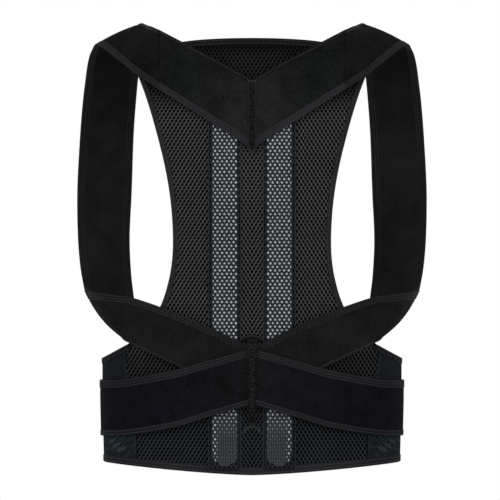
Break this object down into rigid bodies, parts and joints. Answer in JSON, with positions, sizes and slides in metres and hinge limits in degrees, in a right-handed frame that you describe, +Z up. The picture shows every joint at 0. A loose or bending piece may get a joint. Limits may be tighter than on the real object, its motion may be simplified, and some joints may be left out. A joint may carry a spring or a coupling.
{
  "type": "posture corrector",
  "caption": "Mesh back brace with a V yoke, shoulder straps that turn back under the arms, stays, and a waist band with cross belts that closes in front.",
  "frame": {"origin": "midway between the two shoulders, under the straps where they sit on them", "axes": "+Z up along the spine, +X to the wearer's right, +Y to the wearer's front, so the back panel faces -Y"},
  "size_m": [0.3718, 0.2416, 0.4753],
  "materials": {
    "net": "black spacer mesh with oval holes",
    "tape": "woven binding tape with stitch lines",
    "stay": "satin light grey",
    "yoke_cloth": "brushed loop fabric",
    "strap_cloth": "brushed knit",
    "belt_cloth": "smooth elastic knit",
    "front_cloth": "brushed loop fabric",
    "elastic": "ribbed elastic webbing"
  },
  "bodies": {
    "root": {"back_panel": "net", "stay_sleeve_left": "net", "stay_sleeve_right": "net", "seam_strip": "net", "loop_strip": "net", "top_tape": "tape", "armhole_tape_left": "tape", "armhole_tape_right": "tape", "waist_tape_left": "tape", "waist_tape_right": "tape", "hem_tape": "tape", "yoke_lower_tape_left": "tape", "yoke_lower_tape_right": "tape", "yoke_upper_tape_left": "tape", "yoke_upper_tape_right": "tape", "strap_loop_tape_left": "tape", "strap_loop_tape_right": "tape", "strap_outer_tape_left": "tape", "strap_outer_tape_right": "tape", "belt_lower_tape_left": "tape", "belt_lower_tape_right": "tape", "belt_upper_tape_left": "tape", "belt_upper_tape_right": "tape", "stay_left": "stay", "stay_right": "stay", "yoke_left": "yoke_cloth", "yoke_right": "yoke_cloth", "shoulder_strap_left": "strap_cloth", "shoulder_strap_right": "strap_cloth", "cross_belt_left": "belt_cloth", "cross_belt_right": "belt_cloth", "front_patch": "belt_cloth", "front_panel_left": "front_cloth", "front_panel_right": "front_cloth", "side_elastic_left": "elastic", "side_elastic_right": "elastic"}
  },
  "joints": []
}
